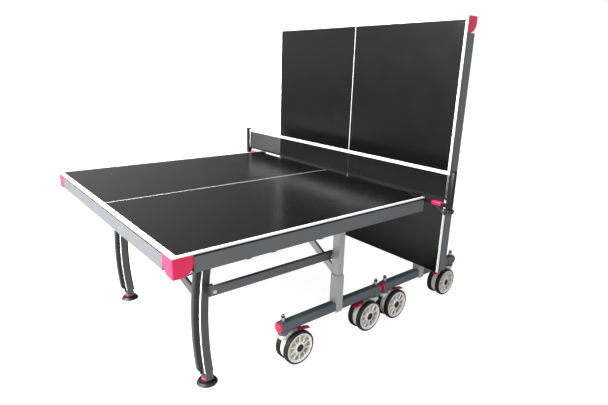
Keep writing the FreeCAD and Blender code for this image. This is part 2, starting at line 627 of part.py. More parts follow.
def half_nodes():
    """Every node of one half: name, group and shapes."""
    nodes = [("top_panel", "top", top_panel()), ("edge_band", "top", edge_band()), ("aprons", "top", aprons()),
             ("corner_caps", "top", corner_caps()), ("under_frame", "top", under_frame()),
             ("trolley_beams", "trolley", trolley_beams()), ("beam_caps", "trolley", beam_caps()),
             ("trolley_frame", "trolley", trolley_frame()), ("trolley_pins", "trolley", trolley_pins()),
             ("leg_tubes", "leg", leg_tubes()), ("leg_covers", "leg", leg_covers()),
             ("leg_pins", "leg", leg_pins()), ("link_bars", "link", link_bars())]
    for side_name, side in (("left", 1), ("right", -1)):
        nodes.append((f"{side_name}_foot", "leg", foot(side)))
        for end_name, stem_x, way in zip(("outer", "inner"), stem_stations(), (-1, 1)):
            castor = f"{side_name}_{end_name}_castor"
            nodes.append((f"{castor}_frame", "trolley", castor_frame(stem_x, side, way)))
            nodes.append((f"{castor}_wheels", "trolley", castor_wheels(stem_x, side, way)))
            nodes.append((f"{castor}_pedal", "trolley", castor_pedal(stem_x, side, way)))
    return nodes


def main():
    """Build both halves and the net, and write one STEP per node."""
    os.makedirs("parts", exist_ok=True)
    for name, group, shapes in half_nodes():
        export(f"play_{name}", place_play(shapes))
        export(f"wall_{name}", place_wall(shapes, group))
    net = {"net_mesh": net_mesh(), "net_tape": net_tape(), "net_posts": net_posts(), "net_levers": net_levers(),
           "net_left_knob": net_knob(1), "net_right_knob": net_knob(-1)}
    for name, shapes in net.items():
        export(name, place_play(shapes))


main()
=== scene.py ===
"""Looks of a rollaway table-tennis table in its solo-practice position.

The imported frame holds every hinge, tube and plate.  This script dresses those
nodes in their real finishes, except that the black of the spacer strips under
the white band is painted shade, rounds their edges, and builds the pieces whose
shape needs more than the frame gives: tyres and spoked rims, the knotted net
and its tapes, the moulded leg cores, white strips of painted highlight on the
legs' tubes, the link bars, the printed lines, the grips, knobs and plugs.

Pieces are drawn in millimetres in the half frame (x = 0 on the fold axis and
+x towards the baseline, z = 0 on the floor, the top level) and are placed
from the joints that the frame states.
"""

from __future__ import annotations

import json
import logging
import math
from dataclasses import dataclass
from enum import Enum
from typing import Any, Iterable, Sequence

import bmesh
import bpy
from mathutils import Matrix, Vector

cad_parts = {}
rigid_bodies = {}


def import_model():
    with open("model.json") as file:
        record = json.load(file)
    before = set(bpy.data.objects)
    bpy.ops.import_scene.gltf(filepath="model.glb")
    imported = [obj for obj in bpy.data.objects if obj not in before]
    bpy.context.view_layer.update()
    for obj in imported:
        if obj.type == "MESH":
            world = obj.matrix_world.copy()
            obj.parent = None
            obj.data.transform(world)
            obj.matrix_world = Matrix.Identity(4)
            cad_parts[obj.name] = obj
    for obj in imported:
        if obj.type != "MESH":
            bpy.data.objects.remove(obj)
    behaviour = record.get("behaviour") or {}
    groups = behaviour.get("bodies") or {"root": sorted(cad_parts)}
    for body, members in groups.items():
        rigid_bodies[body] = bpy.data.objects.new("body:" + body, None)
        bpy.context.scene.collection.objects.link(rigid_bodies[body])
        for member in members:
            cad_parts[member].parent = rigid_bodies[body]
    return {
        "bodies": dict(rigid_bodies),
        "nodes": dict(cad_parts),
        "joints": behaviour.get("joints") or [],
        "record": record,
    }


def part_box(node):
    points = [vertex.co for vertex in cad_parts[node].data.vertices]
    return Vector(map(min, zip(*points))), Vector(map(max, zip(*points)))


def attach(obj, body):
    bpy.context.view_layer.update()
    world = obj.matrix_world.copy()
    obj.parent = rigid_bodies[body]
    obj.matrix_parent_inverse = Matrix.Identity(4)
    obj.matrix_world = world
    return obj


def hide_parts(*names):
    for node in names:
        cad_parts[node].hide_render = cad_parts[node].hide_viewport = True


LOG = logging.getLogger("table_tennis_table")

MM = 0.001
CLEAR_COAT_ROUGHNESS = 0.12
PATCH_RANGE = (0.25, 0.75)  # where the patches' noise is read as none and as full
THREAD_STRETCH = 6.0  # brings the period of a thread to about twice the grain size
Socket = bpy.types.NodeSocket
Profile = Sequence[tuple[float, float]]


# ------------------------------------------------------------------ colours
def linear(hex_colour: str) -> tuple[float, float, float, float]:
    """Turns an sRGB hex colour into linear light.

    Args:
        hex_colour: Six hex digits, such as "c8c8c4".

    Returns:
        Red, green, blue and an alpha of 1.
    """
    parts = [int(hex_colour[i:i + 2], 16) / 255 for i in (0, 2, 4)]
    low = [p / 12.92 if p <= 0.04045 else ((p + 0.055) / 1.055) ** 2.4 for p in parts]
    return low[0], low[1], low[2], 1.0


def add_node(tree: bpy.types.NodeTree, kind: str, settings: dict[Any, Any] | None = None,
             links: dict[Any, Socket] | None = None) -> bpy.types.Node:
    """Adds a node with its settings and links.

    Args:
        tree: The node tree that takes it.
        kind: Blender's name of the node.
        settings: Properties by name, or input values by input name or number.
        links: Output sockets by the input name or number that they feed.

    Returns:
        The node.
    """
    node = tree.nodes.new(kind)
    for key, value in (settings or {}).items():
        if isinstance(key, int) or key in node.inputs:
            node.inputs[key].default_value = value
        else:
            setattr(node, key, value)
    for key, socket in (links or {}).items():
        tree.links.new(socket, node.inputs[key])
    return node


class Grain(Enum):
    """How a surface's fine relief was made."""

    SPRAYED = "orange peel of a sprayed or powder coat"
    ERODED = "spark-eroded mould texture"
    ROLLED = "plated or drawn metal with faint lines along it"
    WOVEN = "threads crossing"


@dataclass(frozen=True)
class Finish:
    """One real material and how its surface was made.

    Attributes:
        name: Material name, as its maker would say it.
        slot: The record's material slot.
        colour: sRGB hex of the surface.
        shade: sRGB hex of its darker patches.
        roughness: Mean roughness.
        spread: How far roughness wanders from its mean.
        grain: Kind of fine relief.
        grain_mm: Size of that relief.
        relief_mm: Height of that relief.
        mottle_mm: Size of the patches of shade.
        metallic: 1 for bare metal.
        ior: Index of refraction of a coat or plastic.
        coat: Weight of a clear glossy layer.
        sheen: Weight of soft fibre sheen.
    """

    name: str
    slot: str
    colour: str
    shade: str
    roughness: float
    spread: float = 0.06
    grain: Grain = Grain.ERODED
    grain_mm: float = 1.5
    relief_mm: float = 0.03
    mottle_mm: float = 70.0
    metallic: float = 0.0
    ior: float = 1.5
    coat: float = 0.0
    sheen: float = 0.0

    def material(self) -> bpy.types.Material:
        """The finish's material, made once.

        Returns:
            The material with its nodes.
        """
        found = bpy.data.materials.get(self.name)
        if found is not None:
            return found
        material = bpy.data.materials.new(self.name)
        material.use_nodes = True
        tree = material.node_tree
        tree.nodes.clear()
        place = add_node(tree, "ShaderNodeTexCoord").outputs["Object"]
        patches = add_node(tree, "ShaderNodeTexNoise",
                           {"Scale": 1 / (self.mottle_mm * MM), "Detail": 3.0, "Roughness": 0.55},
                           {"Vector": place}).outputs["Fac"]
        mix = add_node(tree, "ShaderNodeMix",
                       {"data_type": "RGBA", 6: linear(self.shade), 7: linear(self.colour)}, {0: patches})
        rough = add_node(tree, "ShaderNodeMapRange",
                         {"From Min": PATCH_RANGE[0], "From Max": PATCH_RANGE[1],
                          "To Min": self.roughness + self.spread,
                          "To Max": max(self.roughness - self.spread, 0.02)}, {"Value": patches})
        bump = add_node(tree, "ShaderNodeBump", {"Strength": 1.0, "Distance": self.relief_mm * MM},
                        {"Height": self.relief(tree, place)})
        surface = add_node(tree, "ShaderNodeBsdfPrincipled",
                           {"Metallic": self.metallic, "IOR": self.ior, "Coat Weight": self.coat,
                            "Coat Roughness": CLEAR_COAT_ROUGHNESS, "Sheen Weight": self.sheen},
                           {"Base Color": mix.outputs[2], "Roughness": rough.outputs["Result"],
                            "Normal": bump.outputs["Normal"]})
        add_node(tree, "ShaderNodeOutputMaterial", links={"Surface": surface.outputs["BSDF"]})
        return material

    def relief(self, tree: bpy.types.NodeTree, place: Socket) -> Socket:
        """Height of the fine relief.

        Args:
            tree: The material's node tree.
            place: Object coordinates in metres.

        Returns:
            The height output.
        """
        scale = 1 / (self.grain_mm * MM)
        if self.grain is Grain.WOVEN:
            crossed = [add_node(tree, "ShaderNodeTexWave", {"Scale": scale / THREAD_STRETCH,
                                                          "bands_direction": way},
                                {"Vector": place}).outputs["Fac"] for way in ("Y", "Z")]
            return add_node(tree, "ShaderNodeMath", {"operation": "MAXIMUM"},
                            {0: crossed[0], 1: crossed[1]}).outputs[0]
        if self.grain is Grain.ROLLED:
            drawn = add_node(tree, "ShaderNodeMapping", {"Scale": (scale * 0.06, scale, scale)},
                             {"Vector": place})
            return add_node(tree, "ShaderNodeTexNoise", {"Scale": 1.0, "Detail": 2.0},
                            {"Vector": drawn.outputs[0]}).outputs["Fac"]
        if self.grain is Grain.SPRAYED:
            return add_node(tree, "ShaderNodeTexVoronoi", {"Scale": scale, "feature": "SMOOTH_F1"},
                            {"Vector": place}).outputs["Distance"]
        return add_node(tree, "ShaderNodeTexNoise", {"Scale": scale, "Detail": 4.0, "Roughness": 0.7},
                        {"Vector": place}).outputs["Fac"]


class Finishes:
    """Every finish of the table."""

    # Melamine laminate, satin and slightly pebbled: deep black that turns grey only at a glance.
    laminate = Finish("melamine_laminate_satin_black", "board", "070707", "050505", 0.24, 0.03, Grain.ERODED,
                      grain_mm=2.2, relief_mm=0.012, mottle_mm=180.0, ior=1.42)
    # Screen-printed enamel ink: opaque white with a soft gloss.
    ink = Finish("screen_printed_enamel_white", "white_band", "f4f4f2", "ececea", 0.42, 0.03, Grain.ERODED,
                 grain_mm=1.2, relief_mm=0.01, mottle_mm=50.0)
    # Powder-coated steel band: white with the coat's faint orange peel. On the leg strips the same white is
    # painted highlight for the tubes' lit outward faces.
    band = Finish("powder_coated_steel_white", "white_band", "f1f2f2", "e6e8e8", 0.38, 0.05, Grain.SPRAYED,
                  grain_mm=1.6, relief_mm=0.02)
    # Powder-coated apron tube: mid grey, the peel a little coarse so that it shows.
    apron = Finish("powder_coated_steel_grey", "grey_steel", "5d5f62", "55575a", 0.40, 0.06, Grain.SPRAYED,
                   grain_mm=1.8, relief_mm=0.03, mottle_mm=120.0)
    # Metallic grey coat of the legs: aluminium flake lifts it a little in the light.
    leg = Finish("flake_coated_steel_grey", "leg_steel", "464846", "3f413f", 0.40, 0.05, Grain.SPRAYED,
                 grain_mm=1.6, relief_mm=0.025, mottle_mm=90.0, metallic=0.1)
    # Silver flake coat of the posts and braces: pale grey that brightens towards the light.
    silver = Finish("flake_coated_steel_silver", "silver_steel", "b4b6b4", "a8aaa8", 0.34, 0.05,
                    Grain.SPRAYED, grain_mm=1.6, relief_mm=0.025, mottle_mm=90.0, metallic=0.25)
    # Powder coat of the floor beams: slate blue-grey with a soft highlight along the tube.
    slate = Finish("powder_coated_steel_slate", "beam_steel", "566068", "4c555c", 0.36, 0.05, Grain.SPRAYED,
                   grain_mm=1.6, relief_mm=0.03, mottle_mm=110.0)
    # Black powder coat of the ribs and the net's metalwork: dark, with dull highlights. On the spacer strips
    # under the white band this black is painted shade for the dark gap there.
    black = Finish("powder_coated_steel_black", "black_steel", "080808", "060606", 0.42, 0.06, Grain.SPRAYED,
                   grain_mm=1.6, relief_mm=0.03, ior=1.4)
    # Zinc-plated and passivated fasteners: pale metal with drawn lines.
    zinc = Finish("zinc_plated_steel", "zinc_steel", "c9ccce", "a9adb1", 0.28, 0.08, Grain.ROLLED,
                  grain_mm=0.8, relief_mm=0.01, mottle_mm=12.0, metallic=1.0)
    # Moulded polypropylene, lightly spark-eroded: magenta pink with a waxy shine.
    pink = Finish("moulded_polypropylene_pink", "pink_plastic", "e00f50", "cc0b45", 0.36, 0.05, Grain.ERODED,
                  grain_mm=1.4, relief_mm=0.03, mottle_mm=40.0)
    # Moulded and polished ABS of the leg's core: black with long soft reflections.
    gloss = Finish("moulded_abs_gloss_black", "black_plastic", "050505", "030303", 0.26, 0.05, Grain.ERODED,
                   grain_mm=3.0, relief_mm=0.01, mottle_mm=60.0, ior=1.4, coat=0.15)
    # Moulded nylon of the rims and hoods: off-white, slightly waxy.
    nylon = Finish("moulded_nylon_white", "white_plastic", "eceae4", "dedcd6", 0.40, 0.05, Grain.ERODED,
                   grain_mm=1.4, relief_mm=0.02, mottle_mm=30.0)
    # Moulded nylon of caps and knobs: near black, matt and finely grained.
    knob = Finish("moulded_nylon_black", "black_plastic", "151617", "0f1011", 0.45, 0.06, Grain.ERODED,
                  grain_mm=1.2, relief_mm=0.03, mottle_mm=25.0)
    # Moulded rubber tyre: dark, with a worn bloom.
    tyre = Finish("moulded_rubber_tyre", "tyre_rubber", "070707", "050505", 0.55, 0.08, Grain.ERODED,
                  grain_mm=1.0, relief_mm=0.05, mottle_mm=20.0, ior=1.52)
    # Moulded rubber of the foot pads: dark and matt, scuffed in patches.
    pad = Finish("moulded_rubber_pad", "black_rubber", "0d0d0d", "080808", 0.50, 0.08, Grain.ERODED,
                 grain_mm=1.2, relief_mm=0.05, mottle_mm=20.0, ior=1.52)
    # Knotted polyester of the net: matt black, its low index taking the shine off the cords.
    cord = Finish("knotted_polyester_black", "net_cloth", "040404", "030303", 0.9, 0.05, Grain.WOVEN,
                  grain_mm=0.8, relief_mm=0.05, mottle_mm=30.0, ior=1.28)
    # Woven cotton tape, its threads drawn coarser than the real 0.4 mm so that they show: soft white.
    tape = Finish("woven_cotton_white", "net_tape", "f2f2ef", "e4e4e0", 0.85, 0.04, Grain.WOVEN,
                  grain_mm=1.2, relief_mm=0.15, mottle_mm=30.0, sheen=0.4)
    # Woven polyester tape along the net's foot: black, threads as coarse as the white tape's.
    dark_tape = Finish("woven_polyester_black", "net_cloth", "050505", "040404", 0.9, 0.04, Grain.WOVEN,
                       grain_mm=1.2, relief_mm=0.15, mottle_mm=30.0, ior=1.35, sheen=0.05)


# ------------------------------------------------------------------- shapes
def rounded_section(half_u: float, half_v: float, radius: float, steps: int = 4) -> list[tuple[float, float]]:
    """Outline of a rectangle with round corners.

    Args:
        half_u: Half its first side.
        half_v: Half its second side.
        radius: Corner radius.
        steps: Chords in each corner.

    Returns:
        Its points, counter-clockwise.
    """
    points = []
    for quarter, (su, sv) in enumerate(((1, 1), (-1, 1), (-1, -1), (1, -1))):
        for step in range(steps + 1):
            turn = math.radians(90 * (quarter + step / steps))
            points.append((su * (half_u - radius) + radius * math.cos(turn),
                           sv * (half_v - radius) + radius * math.sin(turn)))
    return points


def rounded_turn(low: tuple[float, float], high: tuple[float, float], radius: float,
                 steps: int = 4) -> list[tuple[float, float]]:
    """Rounded rectangle between two corners, as a closed profile to turn.

    Args:
        low: Least radius and height.
        high: Greatest radius and height.
        radius: Corner radius.
        steps: Chords in each corner.

    Returns:
        Its (radius, height) points.
    """
    centre = ((low[0] + high[0]) / 2, (low[1] + high[1]) / 2)
    section = rounded_section((high[0] - low[0]) / 2, (high[1] - low[1]) / 2, radius, steps)
    return [(centre[0] + u, centre[1] + v) for u, v in section]


class Axis(Enum):
    """Axis that a turned shape is drawn about."""

    Y = "y"
    Z = "z"

    def point(self, centre: Vector, radius: float, turn: float, height: float) -> Vector:
        """A point of a turned shape.

        Args:
            centre: Where height is 0 on the axis.
            radius: Distance from the axis.
            turn: Angle about it, in radians.
            height: Distance along it.

        Returns:
            The point.
        """
        across, up = radius * math.cos(turn), radius * math.sin(turn)
        offset = {Axis.Y: (across, height, up), Axis.Z: (across, up, height)}[self]
        return centre + Vector(offset)


class Shape:
    """Faces drawn in millimetres, made into one mesh object at the end."""

    def __init__(self) -> None:
        """Starts with nothing."""
        self.mesh = bmesh.new()

    def loft(self, rings: Sequence[Sequence[Vector]], capped: bool = True, looped: bool = False) -> None:
        """Joins rings of the same number of points.

        Args:
            rings: The rings in order.
            capped: Close the first and last ring.
            looped: Join the last ring to the first.
        """
        made = [[self.mesh.verts.new(p) for p in ring] for ring in rings]
        pairs = list(zip(made, made[1:])) + ([(made[-1], made[0])] if looped else [])
        for one, two in pairs:
            for i in range(len(one)):
                j = (i + 1) % len(one)
                self.mesh.faces.new((one[i], one[j], two[j], two[i]))
        if capped and not looped:
            self.mesh.faces.new(list(reversed(made[0])))
            self.mesh.faces.new(made[-1])

    def turned(self, axis: Axis, centre: Sequence[float], profile: Profile, segments: int = 48,
               lobes: int = 0, lobe_depth: float = 0.0, closed: bool = True) -> None:
        """Turns a profile about an axis.

        Args:
            axis: Which way the axis lies.
            centre: The axis point where height is 0.
            profile: (radius, height) points; a closed loop, or from pole to pole.
            segments: Steps round the axis.
            lobes: Number of grip lobes round the outside.
            lobe_depth: Share of the radius lost between lobes.
            closed: The profile is a loop.
        """
        middle = Vector(centre)
        rings = []
        for radius, height in profile:
            ring = []
            for step in range(segments):
                turn = 2 * math.pi * step / segments
                dip = lobe_depth * (0.5 - 0.5 * math.cos(lobes * turn)) if lobes else 0.0
                ring.append(axis.point(middle, max(radius, 0.01) * (1 - dip), turn, height))
            rings.append(ring)
        self.loft(rings, capped=not closed, looped=closed)

    def slab(self, x: tuple[float, float], y: tuple[float, float], z: tuple[float, float],
             radius: float = 0.5, steps: int = 2) -> None:
        """Block with round edges along its longest side and eased ends.

        Args:
            x: Limits on x.
            y: Limits on y.
            z: Limits on z.
            radius: Edge radius.
            steps: Chords in each corner.
        """
        spans = [b - a for a, b in (x, y, z)]
        along = spans.index(max(spans))
        u, v = [k for k in range(3) if k != along]
        limits = (x, y, z)
        centre = [(a + b) / 2 for a, b in limits]
        rings = []
        start, end = limits[along]
        for at, shrink in ((start, radius), (start + radius, 0.0), (end - radius, 0.0), (end, radius)):
            ring = []
            for su, sv in rounded_section(spans[u] / 2 - shrink * 0.6, spans[v] / 2 - shrink * 0.6,
                                          radius * (1 - 0.55 * (shrink > 0)), steps):
                point = [0.0, 0.0, 0.0]
                point[along], point[u], point[v] = at, centre[u] + su, centre[v] + sv
                ring.append(Vector(point))
            rings.append(ring)
        self.loft(rings)

    def flat_solid(self, faces: Iterable[Sequence[Vector]], thickness: Vector) -> None:
        """Thickens flat faces that share edges into one solid.

        Args:
            faces: The faces' corners.
            thickness: The way and distance that the faces are pulled.
        """
        known: dict[tuple[int, int, int], bmesh.types.BMVert] = {}
        made = []
        for corners in faces:
            ring = []
            for corner in corners:
                key = tuple(round(c * 1000) for c in corner)
                if key not in known:
                    known[key] = self.mesh.verts.new(corner)
                ring.append(known[key])
            made.append(self.mesh.faces.new(ring))
        pulled = bmesh.ops.extrude_face_region(self.mesh, geom=made, use_keep_orig=True)
        verts = [g for g in pulled["geom"] if isinstance(g, bmesh.types.BMVert)]
        bmesh.ops.translate(self.mesh, verts=verts, vec=thickness)

    def piece(self, name: str, finish: Finish, body: str, place: Matrix | None = None,
              replaces: Sequence[str] = (), sharp_deg: float = 40.0) -> bpy.types.Object:
        """Makes the object, dresses it and hangs it on its body.

        Args:
            name: The object's name.
            finish: Its finish.
            body: The frame's body that it rides on.
            place: From drawing millimetres to the row frame, in millimetres.
            replaces: Frame nodes that it stands for.
            sharp_deg: Edges turning more than this stay sharp.

        Returns:
            The object.
        """
        scale = Matrix.Scale(MM, 4)
        bmesh.ops.transform(self.mesh, matrix=scale @ (place or Matrix.Identity(4)), verts=self.mesh.verts)
        bmesh.ops.recalc_face_normals(self.mesh, faces=self.mesh.faces)
        data = bpy.data.meshes.new(name)
        self.mesh.to_mesh(data)
        self.mesh.free()
        data.shade_smooth()
        data.set_sharp_from_angle(angle=math.radians(sharp_deg))
        data.materials.append(finish.material())
        made = bpy.data.objects.new(name, data)
        bpy.context.scene.collection.objects.link(made)
        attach(made, body)
        if replaces:
            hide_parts(*replaces)
        LOG.info("%s on %s, %d faces", name, body, len(data.polygons))
        return made


# -------------------------------------------------------------------- frame
@dataclass
class Frame:
    """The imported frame, with the lookups that the sub-assemblies need.

    Attributes:
        weld_mm: Points of a node nearer than this become one.
        edge_deg: Edges turning more than this are eased.
    """

    loaded: dict[str, Any]
    weld_mm: float = 0.01
    edge_deg: float = 38.0

    def pivot(self, joint: str) -> Vector:
        """A hinge's place in millimetres."""
        found = next(j for j in self.loaded["joints"] if j["name"] == joint)
        return Vector(found["pos_m"]) / MM

    def span(self, node: str) -> tuple[Vector, Vector]:
        """A node's lowest and highest corner in millimetres."""
        low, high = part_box(node)
        return low / MM, high / MM

    def dress(self, node: str, finish: Finish, edge_mm: float = 0.6, steps: int = 2) -> None:
        """Gives a frame node its finish and eases its edges.

        Args:
            node: The node's name.
            finish: Its finish.
            edge_mm: Radius of its edges.
            steps: Chords in each edge.
        """
        part = self.loaded["nodes"][node]
        part.data.materials.clear()
        part.data.materials.append(finish.material())
        part.data.shade_smooth()
        weld = part.modifiers.new("weld", "WELD")
        weld.merge_threshold = self.weld_mm * MM
        bevel = part.modifiers.new("eased_edges", "BEVEL")
        bevel.width = edge_mm * MM
        bevel.segments = steps
        bevel.limit_method = "ANGLE"
        bevel.angle_limit = math.radians(self.edge_deg)
        part.modifiers.new("face_normals", "WEIGHTED_NORMAL")
        LOG.info("%s in %s", node, finish.name)


def quarter_turn(pivot: Vector) -> Matrix:
    """A quarter turn about y through a point."""
    turn = Matrix.Rotation(math.radians(-90), 4, "Y")
    return Matrix.Translation(pivot) @ turn @ Matrix.Translation(-pivot)


@dataclass
class HalfPlace:
    """Where one half of the table stands, and how its groups are turned.

    Attributes:
        frame: The frame.
        name: "play" or "wall".
    """

    frame: Frame
    name: str

    @property
    def level(self) -> bool:
        """Whether this half lies level."""
        return self.name == "play"

    @property
    def axis(self) -> Vector:
        """The fold axis."""
        return self.frame.pivot(f"{self.name}_fold")

    def trolley(self) -> Matrix:
        """Half frame to row frame for the trolley."""
        shift = Matrix.Translation((self.axis.x, 0, 0))
        return shift @ Matrix.Scale(-1, 4, (1, 0, 0)) if self.level else shift

    def top(self) -> Matrix:
        """Half frame to row frame for the table top."""
        if self.level:
            return self.trolley()
        return self.trolley() @ quarter_turn(Vector((0, 0, self.axis.z)))

    def links(self) -> Matrix:
        """Half frame to row frame for the link bars.

        Returns:
            The matrix, in millimetres.
        """
        if self.level:
            return self.trolley()
        play = self.frame.pivot("play_link_swing")
        pivot = Vector((self.frame.pivot("play_fold").x - play.x, 0, play.z))
        return self.trolley() @ quarter_turn(pivot)

    def legs(self) -> Matrix:
        """Half frame to row frame for the legs, which stay upright.

        Returns:
            The matrix, in millimetres.
        """
        if self.level:
            return self.trolley()
        leg = self.frame.pivot("play_leg_swing")
        play_axis = self.frame.pivot("play_fold")
        now = self.frame.pivot("wall_leg_swing")
        reach = play_axis.x - leg.x
        return self.trolley() @ Matrix.Translation((now.x - self.axis.x - reach, 0, now.z - leg.z))


# ---------------------------------------------------------------- table top
@dataclass
class TableTop:
    """The playing surface, its lines, band, aprons and corner caps.

    Attributes:
        half: The half that it belongs to.
        side_line: Width of the side lines.
        end_line: Width of the end line.
        centre_line: Width of the centre line.
        ink: Height of the printed ink.
        ink_inset: Bare edge between the ink and the panel's edge.
        ink_edge: Edge radius of the ink.
        band_lip: Width of the band that already shows outside the panel.
    """

    half: HalfPlace
    side_line: float = 12.0
    end_line: float = 20.0
    centre_line: float = 3.0
    ink: float = 0.2
    ink_inset: float = 0.3
    ink_edge: float = 0.05
    band_lip: float = 2.0

    def build(self) -> None:
        """Dresses the frame's nodes and prints the lines."""
        name, frame = self.half.name, self.half.frame
        frame.dress(f"{name}_top_panel", Finishes.laminate, 0.4)
        frame.dress(f"{name}_edge_band", Finishes.band, 0.8)
        frame.dress(f"{name}_aprons", Finishes.apron, 0.9, 3)
        frame.dress(f"{name}_corner_caps", Finishes.pink, 4.0, 4)
        # The black of this node's spacer strips, in the gap under the white band, is painted shade; the ribs'
        # black is their own colour.
        frame.dress(f"{name}_under_frame", Finishes.black, 0.6)
        self.lines()

    def lines(self) -> None:
        """Side, end and centre lines as one printed layer."""
        low, high = self.half.frame.span("play_top_panel")
        fold = self.half.frame.pivot("play_fold").x
        x = (fold - high.x, fold - low.x)
        y, z = high.y, (high.z, high.z + self.ink)
        width, end_width = self.side_line - self.band_lip, self.end_line - self.band_lip
        inset, edge = self.ink_inset, self.ink_edge
        along = (x[0] + inset, x[1] - end_width)
        layer = Shape()
        for side in (-1, 1):
            edges = sorted((side * (y - inset), side * (y - width)))
            layer.slab(along, (edges[0], edges[1]), z, edge, 1)
        layer.slab((x[1] - end_width, x[1] - inset), (-y + inset, y - inset), z, edge, 1)
        half_centre = self.centre_line / 2
        layer.slab(along, (-half_centre, half_centre), z, edge, 1)
        layer.piece(f"{self.half.name}_lines", Finishes.ink, f"{self.half.name}_top", self.half.top())


# --------------------------------------------------------------------- legs
@dataclass
class LegPair:
    """Two bowed legs with their cores, painted-highlight strips, link bars and feet.

    Attributes:
        half: The half that they belong to.
        leg_y: Distance of each leg from the middle.
        bow_radius: Radius of the bow.
        bow_x: The bow's furthest point outward.
        bow_z: Its height.
        core_x: The core's inward and outward face, from the leg's centre line.
        core_half_y: Half its width.
        core_z: Its lower and upper end.
        slant: How much higher its outward edge starts.
        foot_x: The foot's place outward.
        tube_out: A tube's outward face, from the leg's centre line.
        tube_y: Middle of a tube, from the leg's middle plane.
        highlight_half: Half the depth and half the width of a white strip of painted highlight on a tube's
            outward face.
        highlight_ends: How far up that strip starts, and how much shorter than the core it is.
        link_y: Middle of a link bar.
        link_half: Half its thickness and half its depth.
        plug: Thickness of an end plug, how far it holds the bar back, and its gap from the bar's faces.
        core_steps: Rings along a core.
        core_points: Points round a core.
        squareness: Power that squares the core's section; 1 leaves an ellipse.
    """

    half: HalfPlace
    leg_y: float = 490.0
    bow_radius: float = 1790.0
    bow_x: float = 706.0
    bow_z: float = 300.0
    core_x: tuple[float, float] = (-38.0, 33.5)
    core_half_y: float = 23.3
    core_z: tuple[float, float] = (55.0, 640.0)
    slant: float = 25.0
    foot_x: float = 679.0
    tube_out: float = 11.5
    tube_y: float = 29.5
    highlight_half: tuple[float, float] = (1.0, 5.0)
    highlight_ends: tuple[float, float] = (14.0, 20.0)
    link_y: float = 556.0
    link_half: tuple[float, float] = (9.7, 21.0)
    plug: tuple[float, float, float] = (2.6, 2.4, 0.3)
    core_steps: int = 32
    core_points: int = 40
    squareness: float = 0.5

    def bow(self, z: float) -> float:
        """x of the leg's centre line at a height."""
        return self.bow_x - self.bow_radius + math.sqrt(self.bow_radius ** 2 - (z - self.bow_z) ** 2)

    def build(self) -> None:
        """Dresses the frame's nodes and builds link bars, painted-highlight strips, cores and lock rings."""
        name, frame = self.half.name, self.half.frame
        frame.dress(f"{name}_leg_tubes", Finishes.leg, 2.2, 3)
        frame.dress(f"{name}_leg_pins", Finishes.zinc, 0.8)
        self.link_bars()
        self.highlight_strips()
        self.cores()
        for side_name, side in (("left", 1), ("right", -1)):
            frame.dress(f"{name}_{side_name}_foot", Finishes.pad, 1.6, 3)
            self.lock_ring(f"{name}_{side_name}_foot", side)

    def link_bars(self) -> None:
        """Square-ended flat bars from the trolley to the legs, with black end plugs."""
        frame, name = self.half.frame, self.half.name
        fold, pin = frame.pivot("play_fold"), frame.pivot("play_link_swing")
        inner, outer = fold.x - pin.x, fold.x - pin.x + fold.x - frame.pivot("play_leg_swing").x
        thick, deep = self.link_half
        plug, held, gap = self.plug
        bars, plugs = Shape(), Shape()
        for side in (-1, 1):
            y = (side * self.link_y - thick, side * self.link_y + thick)
            z = (pin.z - deep, pin.z + deep)
            bars.slab((inner - deep + held, outer + deep - held), y, z, 2.2, 3)
            for end, way in ((inner - deep, 1), (outer + deep, -1)):
                x = sorted((end, end + way * plug))
                plugs.slab((x[0], x[1]), (y[0] + gap, y[1] - gap), (z[0] + gap, z[1] - gap), 0.8, 2)
        place = self.half.links()
        bars.piece(f"{name}_link_tubes", Finishes.apron, f"{name}_links", place, [f"{name}_link_bars"])
        plugs.piece(f"{name}_link_plugs", Finishes.knob, f"{name}_links", place)

    def highlight_strips(self) -> None:
        """White strips on the tubes' outward faces: painted highlight that stands for those faces lit bright
        by the key light.
        """
        shape = Shape()
        low, high = self.core_z
        start, shorter = self.highlight_ends
        steps = 24
        for side in (-1, 1):
            for tube in (-1, 1):
                middle = side * self.leg_y + tube * self.tube_y
                rings = []
                for step in range(steps + 1):
                    z = low + start + (high - low - shorter) * step / steps
                    face = self.bow(z) + self.tube_out
                    rings.append([Vector((face + u, middle + v, z))
                                  for u, v in rounded_section(*self.highlight_half, 0.9, 3)])
                shape.loft(rings)
        # These white strips are painted highlight for the tubes' brightly lit outward faces.
        shape.piece(f"{self.half.name}_leg_highlight_strips", Finishes.band, f"{self.half.name}_legs", self.half.legs())

    def cores(self) -> None:
        """Glossy cores with a crowned face and a foot cut on the slant."""
        shape = Shape()
        low, high = self.core_z
        turns = [2 * math.pi * k / self.core_points for k in range(self.core_points)]
        for side in (-1, 1):
            rings = []
            for step in range(self.core_steps + 1):
                share = step / self.core_steps
                z = low + share * (high - low)
                rings.append([self.core_point(side, z, turn, (1 - share) ** 8) for turn in turns])
            shape.loft(rings)
        name = self.half.name
        shape.piece(f"{name}_leg_cores", Finishes.gloss, f"{name}_legs", self.half.legs(),
                    [f"{name}_leg_covers"])

    def core_point(self, side: int, z: float, turn: float, slant_share: float) -> Vector:
        """A point of a core's skin.

        Args:
            side: 1 for the left leg and -1 for the right.
            z: Height of its ring.
            turn: Angle round the section.
            slant_share: How far the slant has faded out.

        Returns:
            The point.
        """
        cosine, sine = math.cos(turn), math.sin(turn)
        across = math.copysign(abs(cosine) ** self.squareness, cosine)
        inward, outward = self.core_x
        x = (inward + outward) / 2 + (outward - inward) / 2 * across
        y = self.core_half_y * math.copysign(abs(sine) ** self.squareness, sine)
        rise = self.slant * (across + 1) / 2 * slant_share
        return Vector((self.bow(z + rise) + x, side * self.leg_y + y, z + rise))

    def lock_ring(self, foot: str, side: int) -> None:
        """Fluted lock ring above the foot's pad."""
        shape = Shape()
        profile = rounded_turn((7.0, 19.0), (25.0, 26.5), 2.0, 3)
        shape.turned(Axis.Z, (self.foot_x, side * self.leg_y, 0), profile, 72, 12, 0.03)
        shape.piece(f"{foot}_lock_ring", Finishes.pink, foot, self.half.legs())


